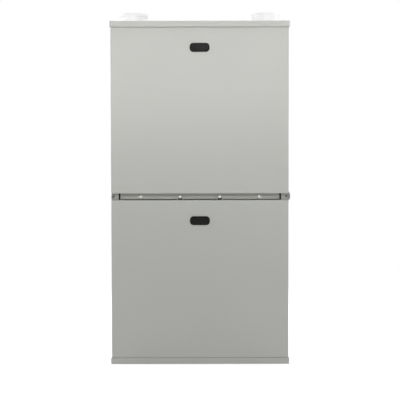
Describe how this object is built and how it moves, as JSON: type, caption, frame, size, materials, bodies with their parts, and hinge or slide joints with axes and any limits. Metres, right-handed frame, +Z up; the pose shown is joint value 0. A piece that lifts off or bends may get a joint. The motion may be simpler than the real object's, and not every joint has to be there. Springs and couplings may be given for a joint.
{
  "type": "forced air gas furnace",
  "caption": "Upflow condensing warm-air gas furnace: tall painted steel cabinet with two stacked doors, vent and air pipe couplings on top, burners, heat exchanger and blower inside.",
  "frame": {"origin": "on the floor under the middle of the base pan", "axes": "+Z up, -Y towards the doors at the front, +X to the right seen from the front"},
  "size_m": [0.459, 0.7342, 0.893],
  "materials": {
    "cabinet_paint": "satin light grey paint",
    "galvanised_steel": "galvanised",
    "aluminised_steel": "dull aluminised",
    "stainless_steel": "bright stainless",
    "zinc_plated_steel": "zinc plated",
    "black_steel": "black",
    "cast_metal": "die cast",
    "motor_grey": "grey enamel",
    "white_pvc": "satin white",
    "smoked_window": "gloss, near black",
    "black_plastic": "moulded",
    "grey_plastic": "moulded",
    "blue_plastic": "moulded",
    "red_plastic": "moulded",
    "black_rubber": "matte",
    "ceramic": "unglazed",
    "circuit_board": "solder mask",
    "brass": "plain"
  },
  "bodies": {
    "cabinet": {"base_pan": "cabinet_paint", "bottom_filler_panel": "galvanised_steel", "left_side_panel": "cabinet_paint", "right_side_panel": "cabinet_paint", "back_panel": "cabinet_paint", "top_panel": "cabinet_paint", "mid_rail": "cabinet_paint", "blower_deck": "galvanised_steel", "vestibule_panel": "galvanised_steel", "right_drain_plug": "grey_plastic", "left_conduit_plug": "grey_plastic", "vent_coupling": "white_pvc", "intake_coupling": "white_pvc", "heat_exchanger_tube_1": "aluminised_steel", "heat_exchanger_tube_2": "aluminised_steel", "heat_exchanger_tube_3": "aluminised_steel", "hot_header": "aluminised_steel", "secondary_coil": "stainless_steel", "collector_box": "black_plastic", "condensate_trap": "grey_plastic", "drain_hose": "black_rubber", "inducer_housing": "black_plastic", "inducer_motor": "motor_grey", "pressure_switch": "blue_plastic", "limit_switch": "ceramic", "rollout_switch": "black_plastic", "inshot_burners": "aluminised_steel", "burner_tray": "galvanised_steel", "gas_manifold": "black_steel", "gas_valve": "cast_metal", "hot_surface_igniter": "ceramic", "flame_sensor": "ceramic", "blower_side_left": "galvanised_steel", "blower_side_right": "galvanised_steel", "blower_scroll": "galvanised_steel", "blower_motor": "motor_grey", "motor_mount": "zinc_plated_steel", "control_panel": "galvanised_steel", "control_board": "circuit_board", "transformer": "motor_grey", "junction_box": "galvanised_steel", "door_switch": "black_plastic", "wiring_harness": "black_rubber"},
    "upper_door": {"upper_door": "cabinet_paint", "upper_sight_glass": "smoked_window", "upper_door_screw_left": "zinc_plated_steel", "upper_door_screw_right": "zinc_plated_steel"},
    "lower_door": {"lower_door": "cabinet_paint", "lower_sight_glass": "smoked_window", "lower_door_clip_left": "black_steel", "lower_door_clip_right": "black_steel", "lower_door_screw_left": "zinc_plated_steel", "lower_door_screw_right": "zinc_plated_steel"},
    "blower_rotor": {"blower_wheel": "galvanised_steel", "blower_motor_shaft": "zinc_plated_steel"},
    "inducer_rotor": {"inducer_wheel": "grey_plastic", "inducer_shaft": "zinc_plated_steel"},
    "gas_knob": {"gas_valve_knob": "red_plastic"},
    "reset_button": {"rollout_reset_button": "red_plastic"},
    "door_switch_plunger": {"door_switch_plunger": "brass"}
  },
  "joints": [
    {"name": "upper_door_pull", "type": "slide", "parent": "cabinet", "child": "upper_door", "axis": [0, -1, 0], "range_m": [0, 0.3]},
    {"name": "lower_door_pull", "type": "slide", "parent": "cabinet", "child": "lower_door", "axis": [0, -1, 0], "range_m": [0, 0.3]},
    {"name": "blower_spin", "type": "hinge", "parent": "cabinet", "child": "blower_rotor", "pos_m": [0, 0.04, 0.214], "axis": [1, 0, 0], "continuous": true},
    {"name": "inducer_spin", "type": "hinge", "parent": "cabinet", "child": "inducer_rotor", "pos_m": [-0.128, -0.22, 0.5204], "axis": [0, 1, 0], "continuous": true},
    {"name": "gas_knob_turn", "type": "hinge", "parent": "cabinet", "child": "gas_knob", "pos_m": [0.149, -0.33, 0.7183], "axis": [0, -1, 0], "range_deg": [-90, 0]},
    {"name": "rollout_reset_press", "type": "slide", "parent": "cabinet", "child": "reset_button", "axis": [0, 1, 0], "range_m": [0, 0.002], "stiffness_N_per_m": 150},
    {"name": "door_switch_travel", "type": "slide", "parent": "cabinet", "child": "door_switch_plunger", "axis": [0, -1, 0], "range_m": [0, 0.006]}
  ],
  "couplings": [
    {"joint": "door_switch_travel", "follows": "lower_door_pull", "ratio": 0.02}
  ]
}
